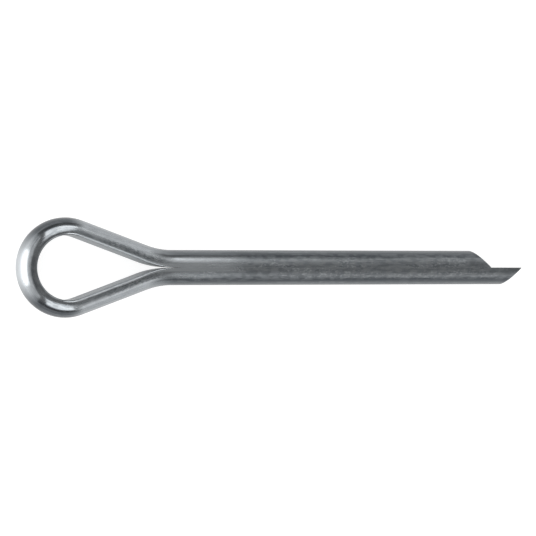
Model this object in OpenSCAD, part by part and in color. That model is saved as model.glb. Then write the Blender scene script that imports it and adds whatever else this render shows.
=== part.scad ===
// Cotter pin (split pin) with an extended prong and slant-cut tips.
//
// One length of half-round wire is folded into an open eye. Its flat faces
// line the eye and meet along the shank, where the two prongs make a round.
//
// The shank's axis is X and its tips point to +X. The origin lies on that
// axis at the throat, where the straight shank begins. The eye lies in the
// XY plane, the short prong on the +Y side, and Z runs through the eye.

/* [Wire] */
// Diameter of the round shank that the two prongs make together
shank_d = 3.8; // [2.2:0.1:6.4]
// Gap between the flat faces of the two prongs
slit = 0.05; // [0.02:0.01:0.2]
// Radius that rounds the two edges of the wire's flat face
edge_r = 0.12; // [0.06:0.01:0.3]

/* [Eye] */
// Inside diameter of the eye's round end
eye_d = 6.85; // [5:0.05:12]
// Slope of each arm of the eye to the shank's axis, in degrees
arm_angle = 20; // [14:1:35]
// Bend radius of the flat face in the throat, where an arm becomes a prong
throat_r = 10.1; // [4:0.1:14]

/* [Prongs] */
// Straight length of the short prong, from the throat to the end of its tip
short_prong = 37.35; // [12:0.05:60]
// Length by which the long prong's tip stands out past the short one's
prong_step = 3.85; // [0:0.05:6]
// Slope of each tip's slanting cut to the shank's axis, in degrees
tip_angle = 45; // [30:1:90]

/* [Hidden] */
$fn = 72;

// Section of the wire: part of the shank's circle, cut off by the flat face.
wire_r = shank_d / 2;
flat_y = slit / 2;
wire_t = wire_r - flat_y;

// Circle that rounds an edge. It reaches a little past the flat and the
// round, so that it crosses both of them and its arc starts at a clean line.
edge_cross = edge_r / 50;
edge_y = edge_r - edge_cross;
edge_reach = wire_r - edge_y;
edge_z = sqrt(pow(edge_reach, 2) - pow(edge_y + flat_y, 2));
// Point where the line from the shank's axis through its centre meets the round.
round_y = (edge_y + flat_y) * wire_r / edge_reach - flat_y;
round_z = edge_z * wire_r / edge_reach;

// Eye: the flat face follows a circle, two straight arms and two throat bends.
eye_r = eye_d / 2;
arm_reach = (eye_r * cos(arm_angle) - flat_y) / sin(arm_angle);
throat_run = throat_r * tan(arm_angle / 2);
arm_l = arm_reach - throat_run;
eye_x = arm_reach * cos(arm_angle) + eye_r * sin(arm_angle) + throat_run;

// Side of the blocks that trim a bend, larger than the whole eye.
block = 4 * (eye_x + eye_r + wire_t);

// Wire section: the flat lies on the line x = 0 and the round points to +X.
module wire_section() {
    intersection() {
        translate([-flat_y, 0])
            circle(r = wire_r);
        translate([0, -wire_r])
            square([wire_r, shank_d]);
        union() {
            section_core();
            for (side = [-1, 1])
                translate([edge_y, side * edge_z])
                    circle(r = edge_r);
        }
    }
}

// Region of the section between its two rounded edges. Each slanting side
// passes through an edge's circle, from behind the flat to outside the round.
module section_core() {
    behind = [-round_y, 2 * edge_z - round_z];
    outside = [2 * round_y, 2 * round_z - edge_z];
    polygon([
        behind,
        outside,
        [wire_r, outside.y],
        [wire_r, -outside.y],
        [outside.x, -outside.y],
        [behind.x, -behind.y]
    ]);
}

// Straight wire along +X from the origin, flat face down, round face to +Y.
module straight_wire(length) {
    rotate([90, 0, 90])
        linear_extrude(height = length)
            wire_section();
}

// Full ring of wire about the Z axis, with its flat face at radius r.
// Its round face points outward, or inward where inward is true.
module wire_ring(r, inward = false) {
    rotate_extrude()
        translate([r, 0])
            mirror([inward ? 1 : 0, 0])
                wire_section();
}

// Half of space on the +X side of the YZ plane, or on its -X side.
module half_space(side) {
    translate([side > 0 ? 0 : -block, -block / 2, -block / 2])
        cube(block);
}

// Frame at the centre of the upper throat bend, turned to the bend's middle.
// Each frame of the leg takes one more turn of the same half angle from it.
module at_throat() {
    translate([0, flat_y + throat_r, 0])
        rotate(-arm_angle / 2)
            children();
}

// Frame at the start of the upper prong, on its flat face.
module at_prong() {
    at_throat()
        rotate(arm_angle / 2)
            translate([0, -throat_r, 0])
                children();
}

// Frame at the throat's end of the upper arm, on its flat face.
module at_arm() {
    at_throat()
        rotate(-arm_angle / 2)
            translate([0, -throat_r, 0])
                children();
}

// Frame at the eye's end of the upper arm, on its flat face.
module at_arm_end() {
    at_arm()
        translate([-arm_l, 0, 0])
            children();
}

// Upper prong, cut off at a slant that leaves it longest at its flat face.
module prong(length) {
    at_prong()
        difference() {
            straight_wire(length);
            translate([length, 0, 0])
                rotate(90 - tip_angle)
                    half_space(1);
        }
}

// Bend of the upper throat, between the arm and the prong.
module throat_bend() {
    intersection() {
        at_arm()
            translate([0, throat_r, 0])
                wire_ring(throat_r, inward = true);
        at_arm() half_space(1);
        at_prong() half_space(-1);
    }
}

// Upper half of the eye's round end, from the arm to the shank's axis.
module eye_bend() {
    intersection() {
        at_arm_end()
            translate([0, -eye_r, 0])
                wire_ring(eye_r);
        at_arm_end() half_space(-1);
        rotate(90) half_space(1);
    }
}

// Upper half of the folded wire, with a prong of the given length.
module half_pin(length) {
    eye_bend();
    at_arm_end() straight_wire(arm_l);
    throat_bend();
    prong(length);
}

// The whole pin, folded from one wire.
module cotter_pin() {
    color([0.66, 0.68, 0.69])
        union() {
            half_pin(short_prong);
            mirror([0, 1, 0])
                half_pin(short_prong + prong_step);
        }
}

cotter_pin();
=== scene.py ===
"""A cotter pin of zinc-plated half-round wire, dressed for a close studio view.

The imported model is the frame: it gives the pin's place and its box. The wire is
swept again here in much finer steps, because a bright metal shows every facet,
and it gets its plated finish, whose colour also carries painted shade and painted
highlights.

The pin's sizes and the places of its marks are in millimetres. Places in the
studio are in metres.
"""

from __future__ import annotations

import logging
import math
from dataclasses import dataclass
from enum import Enum
from typing import Any, Iterator, Mapping, NamedTuple, Sequence

import bmesh
import bpy
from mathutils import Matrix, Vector

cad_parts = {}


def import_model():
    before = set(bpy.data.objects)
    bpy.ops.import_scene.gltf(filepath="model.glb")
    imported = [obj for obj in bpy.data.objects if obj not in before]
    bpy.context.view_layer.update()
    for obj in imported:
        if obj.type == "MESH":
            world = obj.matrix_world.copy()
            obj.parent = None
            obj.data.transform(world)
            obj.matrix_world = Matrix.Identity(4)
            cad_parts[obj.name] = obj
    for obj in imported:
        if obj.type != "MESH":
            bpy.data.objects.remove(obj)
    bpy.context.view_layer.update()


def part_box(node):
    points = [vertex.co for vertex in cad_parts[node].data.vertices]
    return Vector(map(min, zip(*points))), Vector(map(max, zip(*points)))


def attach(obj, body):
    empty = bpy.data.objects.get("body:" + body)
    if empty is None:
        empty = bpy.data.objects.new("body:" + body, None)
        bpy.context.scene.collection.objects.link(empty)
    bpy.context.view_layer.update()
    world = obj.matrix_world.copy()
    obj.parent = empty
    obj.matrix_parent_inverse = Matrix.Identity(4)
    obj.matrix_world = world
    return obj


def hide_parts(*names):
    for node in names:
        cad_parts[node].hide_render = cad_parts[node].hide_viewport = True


LOG = logging.getLogger("cotter_pin")

MM = 0.001
QUARTER_TURN = math.pi / 2
# A flat lamp of this many watts per square metre shines with a radiance of 1.
WATTS_PER_RADIANCE = 4

Colour = tuple[float, float, float]
Point = tuple[float, float, float]


class Fade(NamedTuple):
    """A smooth change from 0 to 1 between two values."""

    start: float
    end: float

    def at(self, value: float) -> float:
        """Work the change out for one value.

        Args:
            value: The value.

        Returns:
            0 up to start, 1 from end on and a smooth change between.
        """
        share = min(1.0, max(0.0, (value - self.start) / (self.end - self.start)))
        return share * share * (3 - 2 * share)


# ---------------------------------------------------------------------------
# Shader maths
# ---------------------------------------------------------------------------


class Term:
    """A shader socket that takes part in arithmetic."""

    def __init__(self, graph: Graph, socket: bpy.types.NodeSocket) -> None:
        """Wrap one socket.

        Args:
            graph: The graph that the socket belongs to.
            socket: The socket.
        """
        self.graph = graph
        self.socket = socket

    def _math(self, operation: str, *values: Term | float) -> Term:
        """Add a Math node.

        Args:
            operation: The node's operation.
            values: The node's inputs, in order.

        Returns:
            The node's result.
        """
        inputs = dict(enumerate(values))
        return self.graph.add("ShaderNodeMath", {"operation": operation}, inputs)

    def __add__(self, other: Term | float) -> Term:
        """Return self + other."""
        return self._math("ADD", self, other)

    def __radd__(self, other: float) -> Term:
        """Return other + self."""
        return self._math("ADD", other, self)

    def __sub__(self, other: Term | float) -> Term:
        """Return self - other."""
        return self._math("SUBTRACT", self, other)

    def __rsub__(self, other: float) -> Term:
        """Return other - self."""
        return self._math("SUBTRACT", other, self)

    def __mul__(self, other: Term | float) -> Term:
        """Return self * other."""
        return self._math("MULTIPLY", self, other)

    def __rmul__(self, other: float) -> Term:
        """Return other * self."""
        return self._math("MULTIPLY", other, self)

    def __abs__(self) -> Term:
        """Return the absolute value."""
        return self._math("ABSOLUTE", self)

    def rise(self, fade: Fade) -> Term:
        """Return a smooth step up.

        Args:
            fade: Where the step starts and ends.

        Returns:
            0 up to its start, 1 from its end on and a smooth change between.
        """
        settings = {"interpolation_type": "SMOOTHSTEP"}
        inputs = {"Value": self, "From Min": fade.start, "From Max": fade.end}
        return self.graph.add("ShaderNodeMapRange", settings, inputs)

    def fall(self, fade: Fade) -> Term:
        """Return a smooth step down, from 1 to 0."""
        return 1 - self.rise(fade)

    def band(self, begin: Fade, stop: Fade) -> Term:
        """Return 1 from one fade to the next and 0 outside them."""
        return self.rise(begin) * self.fall(stop)


@dataclass(frozen=True)
class Layer:
    """A layer of smooth random variation, in waves per unit along each axis."""

    waves: Point
    detail: float = 2.0


class Graph:
    """One node tree that expressions fill in."""

    def __init__(self, tree: bpy.types.NodeTree) -> None:
        """Empty the tree.

        Args:
            tree: The node tree to fill.
        """
        self.tree = tree
        tree.nodes.clear()

    def add(
        self,
        kind: str,
        settings: Mapping[str, Any] | None = None,
        inputs: Mapping[int | str, Any] | None = None,
        output: int | str = 0,
    ) -> Term:
        """Add any node.

        Args:
            kind: The node's type name.
            settings: The node's own settings, which are set first.
            inputs: Values or links of its sockets, by name or number.
            output: The socket that is wanted, by name or number.

        Returns:
            The chosen output, or the first input of a node that ends the tree.
        """
        node = self.tree.nodes.new(kind)
        for name, value in (settings or {}).items():
            setattr(node, name, value)
        live = [socket for socket in node.inputs if socket.enabled]
        for name, value in (inputs or {}).items():
            socket = self._pick(live, name)
            if isinstance(value, Term):
                self.tree.links.new(value.socket, socket)
            else:
                socket.default_value = value
        shown = [socket for socket in node.outputs if socket.enabled]
        return Term(self, self._pick(shown or live, output))

    @staticmethod
    def _pick(sockets: Sequence[bpy.types.NodeSocket], name: int | str) -> bpy.types.NodeSocket:
        """Find a socket.

        Args:
            sockets: The sockets to choose from.
            name: The socket's name, or its number among them.

        Returns:
            The socket.
        """
        if isinstance(name, int):
            return sockets[name]
        return next(socket for socket in sockets if socket.name == name)

    def blend(self, share: Term, low: Term | Colour, high: Term | Colour) -> Term:
        """Mix two colours.

        Args:
            share: The second colour's share, from 0 to 1.
            low: The colour at a share of 0.
            high: The colour at a share of 1.

        Returns:
            The mixed colour.
        """
        inputs = {"Factor": share, "A": self._opaque(low), "B": self._opaque(high)}
        return self.add("ShaderNodeMix", {"data_type": "RGBA"}, inputs)

    @staticmethod
    def _opaque(colour: Term | Colour) -> Term | tuple[float, ...]:
        """Give a written colour full alpha, and leave a linked one as it is."""
        return colour if isinstance(colour, Term) else (*colour, 1.0)

    def noise(self, place: Term, layer: Layer) -> Term:
        """Add smooth random variation.

        Args:
            place: The coordinates.
            layer: The variation's waves and detail.

        Returns:
            A value round 0.5.
        """
        scaled = self.add("ShaderNodeVectorMath", {"operation": "MULTIPLY"},
                          {0: place, 1: layer.waves})
        inputs = {"Vector": scaled, "Scale": 1.0, "Detail": layer.detail}
        return self.add("ShaderNodeTexNoise", None, inputs)


# ---------------------------------------------------------------------------
# The plated finish, with painted shade and highlights
# ---------------------------------------------------------------------------


@dataclass(frozen=True)
class WireLimits:
    """Where each part of the wire begins and stops, in mm."""

    # Along the wire, from the nose. The calm stretch has few marks.
    nose_stop: Fade = Fade(0.5, 4.0)
    arm_begin: Fade = Fade(6.6, 8.4)
    arm_stop: Fade = Fade(15.2, 19.4)
    spots_begin: Fade = Fade(9.5, 12.0)
    spots_stop: Fade = Fade(16.0, 18.6)
    throat_begin: Fade = Fade(16.5, 18.5)
    throat_stop: Fade = Fade(20.0, 22.5)
    calm_begin: Fade = Fade(16.0, 18.6)
    calm_stop: Fade = Fade(24.0, 27.5)
    shank_begin: Fade = Fade(17.0, 21.5)
    # Across the nose, from the long prong's side to the short one's.
    short_side: Fade = Fade(-1.0, 1.0)
    # Out from the flat face.
    inside_stop: Fade = Fade(0.1, 0.4)
    seam_stop: Fade = Fade(0.3, 0.5)
    lip_stop: Fade = Fade(0.3, 0.6)
    core_begin: Fade = Fade(0.15, 0.45)
    core_stop: Fade = Fade(0.75, 1.05)
    outer_begin: Fade = Fade(0.5, 1.0)
    flank_begin: Fade = Fade(0.75, 1.45)
    rim_begin: Fade = Fade(0.8, 1.4)
    crown_begin: Fade = Fade(1.4, 1.75)
    # The share of its calm that the long prong lacks, away from the seam.
    long_prong_loss: float = 0.8


class WireZones:
    """Masks over the wire, each 1 in its own part and 0 away from it."""

    def __init__(self, graph: Graph, limits: WireLimits) -> None:
        """Read where a point lies on the wire, and build the masks.

        Args:
            graph: The graph of a mesh that has the attributes wire_mm and cut.
            limits: Where the parts begin and stop.
        """
        self.place = graph.add("ShaderNodeAttribute", {"attribute_name": "wire_mm"},
                               output="Vector")
        self.cut = graph.add("ShaderNodeAttribute", {"attribute_name": "cut"}, output="Fac")
        way = graph.add("ShaderNodeSeparateXYZ", None, {"Vector": self.place}, output="X")
        out = graph.add("ShaderNodeSeparateXYZ", None, {"Vector": self.place}, output="Y")
        run = abs(way)

        self.nose = run.fall(limits.nose_stop)
        self.arm = run.band(limits.arm_begin, limits.arm_stop)
        self.throat = run.band(limits.throat_begin, limits.throat_stop)
        self.shank = run.rise(limits.shank_begin)

        self.inside = out.fall(limits.inside_stop)
        self.seam = out.fall(limits.seam_stop)
        self.lip = out.fall(limits.lip_stop)
        self.outer = out.rise(limits.outer_begin)
        self.flank = out.rise(limits.flank_begin)
        self.rim = out.rise(limits.rim_begin)
        self.crown = out.rise(limits.crown_begin)

        long_body = way.fall(limits.short_side) * out.rise(limits.seam_stop)
        self.calm = (run.band(limits.calm_begin, limits.calm_stop)
                     * (1 - long_body * limits.long_prong_loss))
        self.spotted = (run.band(limits.spots_begin, limits.spots_stop)
                        * out.band(limits.core_begin, limits.core_stop))


@dataclass(frozen=True)
class MarkLayers:
    """The random layers that make the marks, in waves per mm."""

    fine: Layer = Layer((0.22, 11.0, 11.0), 3.0)
    broad: Layer = Layer((0.08, 2.6, 2.6), 2.0)
    mottle: Layer = Layer((1.1, 2.4, 2.4), 4.0)
    grain: Layer = Layer((3.2, 5.4, 5.4), 1.5)
    patch: Layer = Layer((0.22, 0.7, 0.7), 1.0)
    shear: Layer = Layer((0.3, 1.0, 14.0), 3.0)
    # How much of each layer shows as a mark.
    fine_marks: Fade = Fade(0.42, 0.66)
    broad_marks: Fade = Fade(0.4, 0.62)
    mottle_marks: Fade = Fade(0.40, 0.62)
    speck_marks: Fade = Fade(0.52, 0.66)
    patch_marks: Fade = Fade(0.4, 0.6)
    spot_marks: Fade = Fade(0.45, 0.55)
    shear_marks: Fade = Fade(0.38, 0.62)
    # The fine lines' share of the streaks.
    fine_share: float = 0.5


class WireMarks:
    """The marks that drawing, bending and cutting leave on the wire."""

    def __init__(self, graph: Graph, zones: WireZones, layers: MarkLayers) -> None:
        """Build the marks.

        Args:
            graph: The graph.
            zones: Where a point lies on the wire.
            layers: The marks' random layers.
        """
        self.fine = graph.noise(zones.place, layers.fine)
        self.broad = graph.noise(zones.place, layers.broad)
        self.mottle = graph.noise(zones.place, layers.mottle)
        self.grain = graph.noise(zones.place, layers.grain)
        patch = graph.noise(zones.place, layers.patch)
        self.shear = graph.noise(zones.place, layers.shear)

        self.streak = (self.fine.rise(layers.fine_marks) * layers.fine_share
                       + self.broad.rise(layers.broad_marks) * (1 - layers.fine_share))
        self.speck = (self.grain.rise(layers.speck_marks) * patch.rise(layers.patch_marks)
                      * (1 - zones.flank) * (1 - zones.calm))
        self.blotch = self.mottle.rise(layers.mottle_marks)
        self.spot = zones.spotted * self.grain.rise(layers.spot_marks)
        self.torn = self.shear.rise(layers.shear_marks)


@dataclass(frozen=True)
class WearAndShade:
    """How far each mark and part goes towards the dull colour: real wear, and painted shade on
    the flanks and inside the nose.
    """

    streak: float = 0.5
    blotch: float = 0.3
    calm_loss: float = 0.7
    # Painted shade: the flanks and the inside of the nose are darkened towards the dull colour.
    flank: float = 0.7
    inner_nose_shade: float = 0.5
    spot: float = 0.55
    torn: float = 0.6

    def share(self, zones: WireZones, marks: WireMarks) -> Term:
        """Work out the plating's wear and the painted shade.

        Args:
            zones: Where a point lies on the wire.
            marks: The marks.

        Returns:
            The dull colour's share, painted shade included.
        """
        worn = marks.streak * self.streak + marks.blotch * self.blotch
        worn = worn * (1 - zones.calm * self.calm_loss)
        # The flank and inner nose terms are painted shade.
        return worn + zones.flank * self.flank + zones.nose * zones.inside * self.inner_nose_shade


@dataclass(frozen=True)
class RubAndHighlight:
    """How far each part goes towards the rubbed colour: rubbed specks, a calm stretch that is
    partly rubbed plating and partly painted highlight, and painted highlights on the arms, the
    nose's rim, the crowns and the throat's lip.
    """

    # Painted highlights and reflections: the arms' outer sides and flat faces, the nose's rim,
    # the crowns and the throat's lip.
    outer_arm_highlight: float = 0.34
    inner_arm: float = 0.35
    nose_rim_highlight: float = 0.95
    arm_crown_highlight: float = 0.20
    shank_crown_highlight: float = 0.12
    throat_lip_highlight: float = 0.10
    # The calm stretch is partly smoother rubbed plating and partly painted highlight; its seam
    # is painted highlight.
    calm: float = 0.22
    calm_seam_highlight: float = 0.15
    speck: float = 0.22

    def share(self, zones: WireZones, marks: WireMarks) -> Term:
        """Work out where the plating is rubbed bright and where highlights are painted.

        Args:
            zones: Where a point lies on the wire.
            marks: The marks.

        Returns:
            The rubbed colour's share.
        """
        return (zones.arm * (zones.outer * self.outer_arm_highlight + zones.inside * self.inner_arm)
                + zones.nose * zones.rim * self.nose_rim_highlight
                + zones.crown * (zones.arm * self.arm_crown_highlight + zones.shank * self.shank_crown_highlight)
                + zones.throat * zones.lip * self.throat_lip_highlight
                + zones.calm * (1 - zones.flank) * self.calm
                + zones.calm * zones.seam * self.calm_seam_highlight
                + zones.shank * marks.speck * self.speck)


@dataclass(frozen=True)
class Sheen:
    """The roughness of each part, and what the marks add to it."""

    eye: float = 0.16
    shank: float = 0.32
    cut: float = 0.42
    calm_loss: float = 0.08
    streak: float = 0.10
    streak_mean: float = 0.4
    speck: float = 0.1
    inner_arm: float = 0.35

    def roughness(self, zones: WireZones, marks: WireMarks, satin: Term) -> Term:
        """Work out the roughness.

        Args:
            zones: Where a point lies on the wire.
            marks: The marks.
            satin: The share of the shank's roughness.

        Returns:
            The roughness.
        """
        drawn = (self.eye + satin * (self.shank - self.eye) - zones.calm * self.calm_loss
                 + (marks.streak - self.streak_mean) * self.streak
                 + marks.speck * zones.shank * self.speck
                 + zones.arm * zones.inside * self.inner_arm)
        return drawn * (1 - zones.cut) + zones.cut * self.cut


@dataclass(frozen=True)
class Relief:
    """The height of each mark, in shares of one height in mm."""

    height: float = 0.003
    fine: float = 0.6
    broad: float = 0.9
    mottle: float = 0.5
    grain: float = 0.4
    calm_loss: float = 0.7
    shear: float = 2.0

    def normal(self, graph: Graph, zones: WireZones, marks: WireMarks, satin: Term) -> Term:
        """Work out how the marks tilt the surface.

        Args:
            graph: The graph.
            zones: Where a point lies on the wire.
            marks: The marks.
            satin: The share of the shank's grain.

        Returns:
            The surface's direction.
        """
        drawn = (marks.fine * self.fine + marks.broad * self.broad
                 + marks.mottle * self.mottle
                 + marks.grain * satin * (1 - zones.flank) * self.grain)
        level = (drawn * (1 - zones.calm * self.calm_loss)
                 + zones.cut * marks.shear * self.shear)
        return graph.add("ShaderNodeBump", None, {
            "Strength": 1.0, "Distance": self.height * MM, "Height": level})


@dataclass(frozen=True)
class ZincPlate:
    """Clear zinc plating over drawn steel wire, glossy where it was bent, with painted shade and
    painted highlights in its colour.
    """

    bright: Colour = (0.335, 0.355, 0.37)
    # Worn plating, and the painted shade on the flanks and inside the nose.
    dull_and_shade: Colour = (0.102, 0.114, 0.126)
    # Rubbed specks, and the painted highlights on the arms, rims, throat and calm stretch.
    rubbed_and_highlight: Colour = (0.80, 0.84, 0.87)
    sheared: Colour = (0.26, 0.266, 0.272)
    coat: float = 0.3
    coat_rough: float = 0.15
    # The arms' share of the shank's roughness and grain.
    arm_satin: float = 0.8
    limits: WireLimits = WireLimits()
    layers: MarkLayers = MarkLayers()
    wear_and_shade: WearAndShade = WearAndShade()
    rub_and_highlight: RubAndHighlight = RubAndHighlight()
    sheen: Sheen = Sheen()
    relief: Relief = Relief()

    def colour(self, graph: Graph, zones: WireZones, marks: WireMarks) -> Term:
        """Work out the colour.

        Args:
            graph: The graph.
            zones: Where a point lies on the wire.
            marks: The marks.

        Returns:
            The colour of the plated wire, with its painted shade and highlights, and of its cut
            faces.
        """
        # The wear share holds painted shade, and the rub share holds painted highlights.
        plated = graph.blend(self.wear_and_shade.share(zones, marks), self.bright, self.dull_and_shade)
        lifted = graph.blend(self.rub_and_highlight.share(zones, marks), plated, self.rubbed_and_highlight)
        drawn = graph.blend(marks.spot * self.wear_and_shade.spot, lifted, self.dull_and_shade)
        torn = graph.blend(marks.torn * self.wear_and_shade.torn, self.sheared, self.dull_and_shade)
        return graph.blend(zones.cut, drawn, torn)

    def make(self) -> bpy.types.Material:
        """Build the material.

        Returns:
            The material, for a mesh that has the attributes wire_mm and cut.
        """
        material = bpy.data.materials.new("zinc_plate")
        material.use_nodes = True
        graph = Graph(material.node_tree)
        zones = WireZones(graph, self.limits)
        marks = WireMarks(graph, zones, self.layers)
        satin = zones.arm * self.arm_satin + zones.shank
        shader = graph.add("ShaderNodeBsdfPrincipled", None, {
            "Base Color": self.colour(graph, zones, marks),
            "Metallic": 1.0,
            "Roughness": self.sheen.roughness(zones, marks, satin),
            "Normal": self.relief.normal(graph, zones, marks, satin),
            "Coat Weight": self.coat,
            "Coat Roughness": self.coat_rough})
        graph.add("ShaderNodeOutputMaterial", None, {"Surface": shader})
        return material


# ---------------------------------------------------------------------------
# The pin
# ---------------------------------------------------------------------------


class Prong(Enum):
    """A half of the pin, by the side that it lies on."""

    SHORT = 1
    LONG = -1


@dataclass(frozen=True)
class Rib:
    """One point of the wire's half-round section, with its outward direction."""

    out: float
    up: float
    out_dir: float
    up_dir: float

    def inset(self, depth: float) -> Rib:
        """Return the same point moved into the section by depth."""
        return Rib(self.out - depth * self.out_dir, self.up - depth * self.up_dir,
                   self.out_dir, self.up_dir)


class Place(NamedTuple):
    """A place on the wire's flat face, with its outward direction.

    Its run is the way along the wire from the nose, negative on the long prong's
    half.
    """

    x: float
    y: float
    out_x: float
    out_y: float
    run: float


@dataclass(frozen=True)
class Station:
    """A place where a section stands, with its edge radius and its fill of the slit."""

    place: Place
    edge: float
    fill: float


class SkinPoint(NamedTuple):
    """A point of the mesh, in the pin and in the straightened wire.

    Its cut goes from 0 on the wire's own surface to 1 on a cut face.
    """

    place: Point
    wire: Point
    cut: float


@dataclass
class CotterPin:
    """The whole pin: one half-round wire, folded round an eye. Sizes are in mm."""

    shank_d: float = 3.8
    slit: float = 0.05
    eye_d: float = 6.85
    arm_angle: float = 20.0
    throat_r: float = 10.1
    short_prong: float = 37.35
    prong_step: float = 3.85
    tip_angle: float = 45.0

    # The wire's edges are soft where it was bent and crisp along the shank.
    bend_edge: float = 0.28
    shank_edge: float = 0.012
    cut_edge: float = 0.01
    edge_change: Fade = Fade(14.0, 19.0)
    # Past the throat each flat face fills its half of the slit, but for the gap.
    shank_gap: float = 0.0003
    slit_closing: Fade = Fade(18.5, 20.0)

    # How finely the mesh follows the shape. The bends' step is in degrees.
    round_steps: int = 64
    edge_steps: int = 8
    flat_steps: int = 10
    bend_step: float = 1.5
    straight_step: float = 0.5
    cut_rings: int = 8
    cut_edge_steps: int = 3
    cut_face_scales: tuple[float, ...] = (0.96, 0.8, 0.6, 0.4, 0.2)

    finish: ZincPlate = ZincPlate()

    def __post_init__(self) -> None:
        """Work out the sizes that follow from the others."""
        self.wire_r = self.shank_d / 2
        self.flat_y = self.slit / 2
        self.depth = self.wire_r - self.flat_y
        self.eye_r = self.eye_d / 2
        self.alpha = math.radians(self.arm_angle)
        self.eye_sweep = QUARTER_TURN + self.alpha
        arm_reach = (self.eye_r * math.cos(self.alpha) - self.flat_y) / math.sin(self.alpha)
        throat_run = self.throat_r * math.tan(self.alpha / 2)
        self.arm_l = arm_reach - throat_run
        self.eye_x = (arm_reach * math.cos(self.alpha) + self.eye_r * math.sin(self.alpha)
                      + throat_run)
        # Runs are measured along the middle of the wire, the half round's centroid.
        middle = 4 * self.wire_r / (3 * math.pi)
        self.throat_bend = (self.throat_r - middle) * self.alpha
        self.eye_end = (self.eye_r + middle) * self.eye_sweep
        self.arm_end = self.eye_end + self.arm_l
        self.throat_end = self.arm_end + self.throat_bend

    def section(self, edge: float, fill: float) -> list[Rib]:
        """Draw the wire's section.

        Args:
            edge: The radius of its two rounded corners.
            fill: How far the flat face stands into the slit.

        Returns:
            Its points, once round, from the flat face's middle.
        """
        reach = edge + self.flat_y - fill
        lift = math.sqrt((self.wire_r - edge) ** 2 - reach ** 2)
        turn = math.atan2(lift, reach)
        # The upper half: half the flat face, a rounded corner and the round to its crown.
        ribs = []
        half = self.flat_steps // 2
        for step in range(half):
            ribs.append(Rib(-fill, lift * step / half, -1.0, 0.0))
        for step in range(self.edge_steps):
            angle = math.pi + (turn - math.pi) * step / self.edge_steps
            out_dir, up_dir = math.cos(angle), math.sin(angle)
            ribs.append(Rib(edge - fill + edge * out_dir, lift + edge * up_dir, out_dir, up_dir))
        for step in range(self.round_steps // 2):
            angle = turn * (1 - 2 * step / self.round_steps)
            out_dir, up_dir = math.cos(angle), math.sin(angle)
            ribs.append(Rib(self.wire_r * out_dir - self.flat_y, self.wire_r * up_dir,
                            out_dir, up_dir))
        crown = Rib(self.depth, 0.0, 1.0, 0.0)
        below = [Rib(rib.out, -rib.up, rib.out_dir, -rib.up_dir) for rib in ribs[:0:-1]]
        return [*ribs, crown, *below]

    def eye_places(self) -> Iterator[Place]:
        """Follow the eye's bend on the short prong's side.

        Yields:
            Its places, from the nose on.
        """
        steps = round(math.degrees(self.eye_sweep) / self.bend_step)
        for step in range(steps):
            angle = math.pi - self.eye_sweep * step / steps
            out_x, out_y = math.cos(angle), math.sin(angle)
            yield Place(-self.eye_x + self.eye_r * out_x, self.eye_r * out_y, out_x, out_y,
                        self.eye_end * step / steps)

    def arm_places(self) -> Iterator[Place]:
        """Follow the short prong's arm.

        Yields:
            Its places, from the eye on.
        """
        out_x, out_y = math.sin(self.alpha), math.cos(self.alpha)
        start_x, start_y = -self.eye_x + self.eye_r * out_x, self.eye_r * out_y
        steps = round(self.arm_l / self.straight_step)
        for step in range(steps):
            along = self.arm_l * step / steps
            yield Place(start_x + along * out_y, start_y - along * out_x, out_x, out_y,
                        self.eye_end + along)

    def throat_places(self) -> Iterator[Place]:
        """Follow the short prong's throat bend.

        Yields:
            Its places, from the arm on.
        """
        steps = round(self.arm_angle / self.bend_step)
        for step in range(steps):
            angle = self.alpha * (1 - step / steps)
            out_x, out_y = math.sin(angle), math.cos(angle)
            yield Place(-self.throat_r * out_x, self.flat_y + self.throat_r * (1 - out_y),
                        out_x, out_y, self.arm_end + self.throat_bend * step / steps)

    def prong_places(self, prong: Prong) -> Iterator[Place]:
        """Follow a prong as if it lay on the short one's side, as far as its cut.

        Args:
            prong: The prong.

        Yields:
            Its places, from the throat on, with the last one.
        """
        # The path stops a little before the cut, whose rounded rim needs the room.
        straight = self.prong_length(prong) - self.cut_run() - 2 * self.cut_edge
        steps = round(straight / self.straight_step)
        for step in range(steps + 1):
            along = straight * step / steps
            yield Place(along, self.flat_y, 0.0, 1.0, self.throat_end + along)

    def half_path(self, prong: Prong) -> list[Station]:
        """Follow one half of the wire from the nose to where its cut begins.

        Args:
            prong: The half.

        Returns:
            The stations, in order.
        """
        side = prong.value
        stations = []
        for x, y, out_x, out_y, run in (*self.eye_places(), *self.arm_places(),
                                        *self.throat_places(), *self.prong_places(prong)):
            crisp = self.edge_change.at(run)
            edge = self.bend_edge + (self.shank_edge - self.bend_edge) * crisp
            fill = (self.flat_y - self.shank_gap) * self.slit_closing.at(run)
            place = Place(x, side * y, out_x, side * out_y, side * run)
            stations.append(Station(place, edge, fill))
        return stations

    def prong_length(self, prong: Prong) -> float:
        """Return how far a prong's flat face reaches past the throat."""
        return self.short_prong + (self.prong_step if prong is Prong.LONG else 0.0)

    def cut_run(self) -> float:
        """Return how far the slanted cut reaches along the prong."""
        return self.depth / math.tan(math.radians(self.tip_angle))

    def ring(self, station: Station) -> list[SkinPoint]:
        """Stand the section on a station.

        Args:
            station: The station.

        Returns:
            The section's points.
        """
        x, y, out_x, out_y, run = station.place
        return [SkinPoint((x + out_x * rib.out, y + out_y * rib.out, rib.up),
                          (run, rib.out, rib.up), 0.0)
                for rib in self.section(station.edge, station.fill)]

    def prong_point(self, last: Station, place: Point, cut: float) -> SkinPoint:
        """Make a point past a prong's last station.

        Args:
            last: The station.
            place: How far the point lies along the pin, out from the wire's plane
                and up.
            cut: Its share of cut face.

        Returns:
            The point.
        """
        x, out, up = place
        # The prong is straight, so this is 1 on the short one and -1 on the long one.
        side = last.place.out_y
        run = last.place.run + side * (x - last.place.x)
        return SkinPoint((x, side * (self.flat_y + out), up), (run, out, up), cut)

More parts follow.
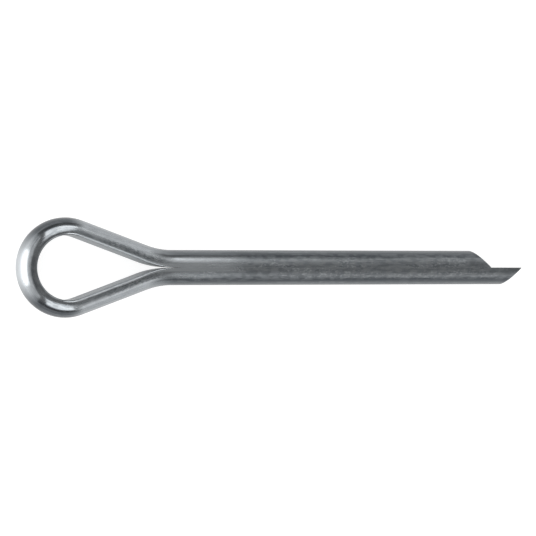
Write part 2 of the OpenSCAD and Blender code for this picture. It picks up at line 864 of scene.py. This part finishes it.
    def cut_end(self, prong: Prong, last: Station) -> list[list[SkinPoint]]:
        """Bring the section over to the slanted cut and close it.

        Args:
            prong: The half.
            last: The last station of its path.

        Returns:
            The rings after the path's last one, of which the last is one point.
        """
        slope = 1 / math.tan(math.radians(self.tip_angle))
        tilt = 1 / math.sin(math.radians(self.tip_angle))
        length = self.prong_length(prong)
        outline = self.section(last.edge, last.fill)
        centre = sum(rib.out for rib in outline) / len(outline)
        start = last.place.x

        rings = []
        # Lean the section over until it stands beside the cut.
        for step in range(1, self.cut_rings + 1):
            share = step / self.cut_rings
            ring = []
            for rib in outline:
                x = start + share * (length - rib.out * slope - self.cut_edge * tilt - start)
                ring.append(self.prong_point(last, (x, rib.out, rib.up), 0.0))
            rings.append(ring)
        # Round the rim.
        for step in range(1, self.cut_edge_steps + 1):
            share = step / self.cut_edge_steps
            turn = QUARTER_TURN * share
            depth = self.cut_edge * (1 - math.cos(turn))
            end = length - self.cut_edge * (1 - math.sin(turn)) * tilt
            moved = [rib.inset(depth) for rib in outline]
            rings.append([self.prong_point(last, (end - rib.out * slope, rib.out, rib.up), share)
                          for rib in moved])
        # Close the cut face.
        rim = [rib.inset(self.cut_edge) for rib in outline]
        for scale in self.cut_face_scales:
            flat = [(centre + (rib.out - centre) * scale, rib.up * scale) for rib in rim]
            rings.append([self.prong_point(last, (length - out * slope, out, up), 1.0)
                          for out, up in flat])
        rings.append([self.prong_point(last, (length - centre * slope, centre, 0.0), 1.0)])
        return rings

    def rings(self) -> list[list[SkinPoint]]:
        """Sweep the wire from the short prong's cut, round the eye, to the long one's.

        Returns:
            The rings of points, each with as many as the next, but for one point at
            either end.
        """
        short, long = self.half_path(Prong.SHORT), self.half_path(Prong.LONG)
        return [*self.cut_end(Prong.SHORT, short[-1])[::-1],
                *(self.ring(station) for station in [*short[::-1], *long[1:]]),
                *self.cut_end(Prong.LONG, long[-1])]

    def mesh(self) -> bpy.types.Mesh:
        """Skin the rings.

        Returns:
            A closed mesh in metres, with the attributes wire_mm and cut.
        """
        sheet = bmesh.new()
        wire_layer = sheet.verts.layers.float_vector.new("wire_mm")
        cut_layer = sheet.verts.layers.float.new("cut")
        rows = []
        for ring in self.rings():
            row = []
            for point in ring:
                vert = sheet.verts.new([part * MM for part in point.place])
                vert[wire_layer] = point.wire
                vert[cut_layer] = point.cut
                row.append(vert)
            rows.append(row)
        for row, following in zip(rows, rows[1:]):
            count = max(len(row), len(following))
            for i in range(count):
                j = (i + 1) % count
                corners = [row[i % len(row)], row[j % len(row)],
                           following[j % len(following)], following[i % len(following)]]
                sheet.faces.new(dict.fromkeys(corners))
        bmesh.ops.recalc_face_normals(sheet, faces=sheet.faces)
        for face in sheet.faces:
            face.smooth = True
        mesh = bpy.data.meshes.new("pin_wire")
        sheet.to_mesh(mesh)
        sheet.free()
        return mesh

    def build(self) -> bpy.types.Object:
        """Make the pin's piece and put it in the frame.

        Returns:
            The piece.
        """
        piece = bpy.data.objects.new("pin_wire", self.mesh())
        bpy.context.scene.collection.objects.link(piece)
        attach(piece, "root")
        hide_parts("cotter_pin")
        return piece

    def dress(self, pieces: Sequence[bpy.types.Object]) -> None:
        """Give the plated finish, with its painted shade and highlights, to the pin's pieces.

        Args:
            pieces: The pieces.
        """
        material = self.finish.make()
        for piece in pieces:
            piece.data.materials.clear()
            piece.data.materials.append(material)


# ---------------------------------------------------------------------------
# The studio
# ---------------------------------------------------------------------------


@dataclass(frozen=True)
class StudioFloor:
    """A satin white sheet that keeps the pin's shadow."""

    sheet: Colour = (0.35, 0.35, 0.35)
    grain: Layer = Layer((900.0, 900.0, 900.0))
    grain_shade: float = 0.98
    glow: float = 0.88
    mirrored: float = 0.48
    satin: float = 0.22

    def make(self) -> bpy.types.Material:
        """Build the material.

        Returns:
            The material. Its added light shows to the camera and in reflections
            alone, so it lights nothing.
        """
        material = bpy.data.materials.new("studio_floor")
        material.use_nodes = True
        graph = Graph(material.node_tree)
        place = graph.add("ShaderNodeNewGeometry", output="Position")
        shade = tuple(self.grain_shade * part for part in self.sheet)
        colour = graph.blend(graph.noise(place, self.grain), self.sheet, shade)
        camera, glossy, clear = [
            graph.add("ShaderNodeLightPath", output=name) for name in
            ("Is Camera Ray", "Is Glossy Ray", "Is Transmission Ray")]
        seen = camera * self.glow + (glossy + clear) * self.mirrored
        plain = graph.add("ShaderNodeBsdfPrincipled", None, {
            "Base Color": colour, "Roughness": self.satin})
        light = graph.add("ShaderNodeEmission", None, {"Strength": seen})
        both = graph.add("ShaderNodeAddShader", None, {0: plain, 1: light})
        graph.add("ShaderNodeOutputMaterial", None, {"Surface": both})
        return material


@dataclass(frozen=True)
class SoftBox:
    """A flat lamp that lights the pin from one side. Places are in metres."""

    name: str
    centre: Point
    target: Point
    width: float
    height: float
    radiance: float

    def build(self) -> bpy.types.Object:
        """Make the lamp.

        Returns:
            The lamp, unseen by the camera.
        """
        lamp = bpy.data.lights.new(self.name, "AREA")
        lamp.shape = "RECTANGLE"
        lamp.size, lamp.size_y = self.width, self.height
        lamp.energy = self.radiance * self.width * self.height * WATTS_PER_RADIANCE
        thing = bpy.data.objects.new(self.name, lamp)
        thing.location = self.centre
        away = Vector(self.target) - Vector(self.centre)
        thing.rotation_euler = away.to_track_quat("-Z", "Y").to_euler()
        thing.visible_camera = False
        bpy.context.scene.collection.objects.link(thing)
        return thing


@dataclass
class Studio:
    """The floor, the lamps and the sky above the pin."""

    floor_z: float
    floor_size: float = 6.0
    zenith: float = 0.40
    horizon: float = 0.36
    # The sky changes from the horizon, at a height of 0, to straight up, at 1.
    climb: Fade = Fade(0.0, 1.0)
    finish: StudioFloor = StudioFloor()
    boxes: tuple[SoftBox, ...] = (
        SoftBox("left", (-0.140, 0.0, 0.045), (0.0, 0.0, 0.045), 0.140, 0.090, 1.3),
        SoftBox("left_wide", (-0.140, 0.0, 0.101), (0.0, 0.0, 0.101), 0.400, 0.202, 0.52),
        SoftBox("right", (0.400, 0.0, 0.190), (0.0, 0.0, 0.190), 1.200, 0.380, 0.4),
        SoftBox("back", (-0.007, 0.080, 0.109), (-0.007, 0.0, 0.109), 0.074, 0.144, 1.6),
        SoftBox("back_far", (0.130, 0.400, 0.455), (0.130, 0.0, 0.455), 0.200, 0.443, 0.3),
        SoftBox("front", (-0.010, -0.080, 0.073), (-0.010, 0.0, 0.073), 0.062, 0.090, 1.8),
        SoftBox("front_far", (0.130, -0.400, 0.455), (0.130, 0.0, 0.455), 0.200, 0.443, 0.25),
        SoftBox("back_arm", (0.216, 0.271, 0.090), (-0.005, 0.0, 0.090), 0.120, 0.180, 0.3),
        SoftBox("front_arm", (0.216, -0.271, 0.090), (-0.005, 0.0, 0.090), 0.120, 0.180, 0.3),
        SoftBox("front_low", (0.042, -0.080, 0.024), (0.042, 0.0, 0.024), 0.048, 0.024, 0.22),
    )

    def build(self) -> list[bpy.types.Object]:
        """Make the floor, the sky and the lamps.

        Returns:
            The floor and the lamps.
        """
        half = self.floor_size / 2
        mesh = bpy.data.meshes.new("floor")
        corners = [(-half, -half), (half, -half), (half, half), (-half, half)]
        mesh.from_pydata([(x, y, self.floor_z) for x, y in corners], [], [(0, 1, 2, 3)])
        floor = bpy.data.objects.new("floor", mesh)
        mesh.materials.append(self.finish.make())
        bpy.context.scene.collection.objects.link(floor)
        self.sky()
        return [floor, *(box.build() for box in self.boxes)]

    def sky(self) -> None:
        """Fill the world with a grey that is a little lighter overhead."""
        world = bpy.data.worlds.new("sky")
        bpy.context.scene.world = world
        world.use_nodes = True
        graph = Graph(world.node_tree)
        direction = graph.add("ShaderNodeTexCoord", output="Generated")
        up = graph.add("ShaderNodeSeparateXYZ", None, {"Vector": direction}, output="Z")
        level = self.horizon + up.rise(self.climb) * (self.zenith - self.horizon)
        light = graph.add("ShaderNodeBackground", None, {"Strength": level})
        graph.add("ShaderNodeOutputWorld", None, {"Surface": light})


@dataclass(frozen=True)
class Viewpoint:
    """The camera: it looks down on the pin from beyond the eye's end."""

    aim: Point = (11.094 * MM, 0.0, 0.0)
    distance: float = 218.92 * MM
    lean: float = -20.47
    view_width: float = 58.67 * MM
    shift_y: float = -0.00086
    sensor: float = 36.0
    nearest: float = 10 * MM

    def build(self) -> bpy.types.Object:
        """Make the camera and look through it.

        Returns:
            The camera.
        """
        lean = math.radians(self.lean)
        lens = bpy.data.cameras.new("camera")
        lens.sensor_width = self.sensor
        lens.lens = self.sensor * self.distance / self.view_width
        lens.clip_start = self.nearest
        lens.shift_y = self.shift_y
        camera = bpy.data.objects.new("camera", lens)
        back = Vector((math.sin(lean), 0.0, math.cos(lean)))
        camera.location = Vector(self.aim) + back * self.distance
        camera.rotation_euler = (0.0, lean, 0.0)
        bpy.context.scene.collection.objects.link(camera)
        bpy.context.scene.camera = camera
        return camera


def main() -> None:
    """Build the pin and its studio, and log the wire's face count and the studio's pieces."""
    logging.basicConfig(level=logging.INFO, format="%(name)s: %(message)s")
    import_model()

    Viewpoint().build()
    pin = CotterPin()
    wire = pin.build()
    pin.dress([wire])
    LOG.info("%s: %d faces", wire.name, len(wire.data.polygons))
    low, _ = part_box("cotter_pin")
    for thing in Studio(floor_z=low.z).build():
        LOG.info("%s", thing.name)

    bpy.context.scene.view_settings.view_transform = "Standard"


if __name__ == "__main__":
    main()
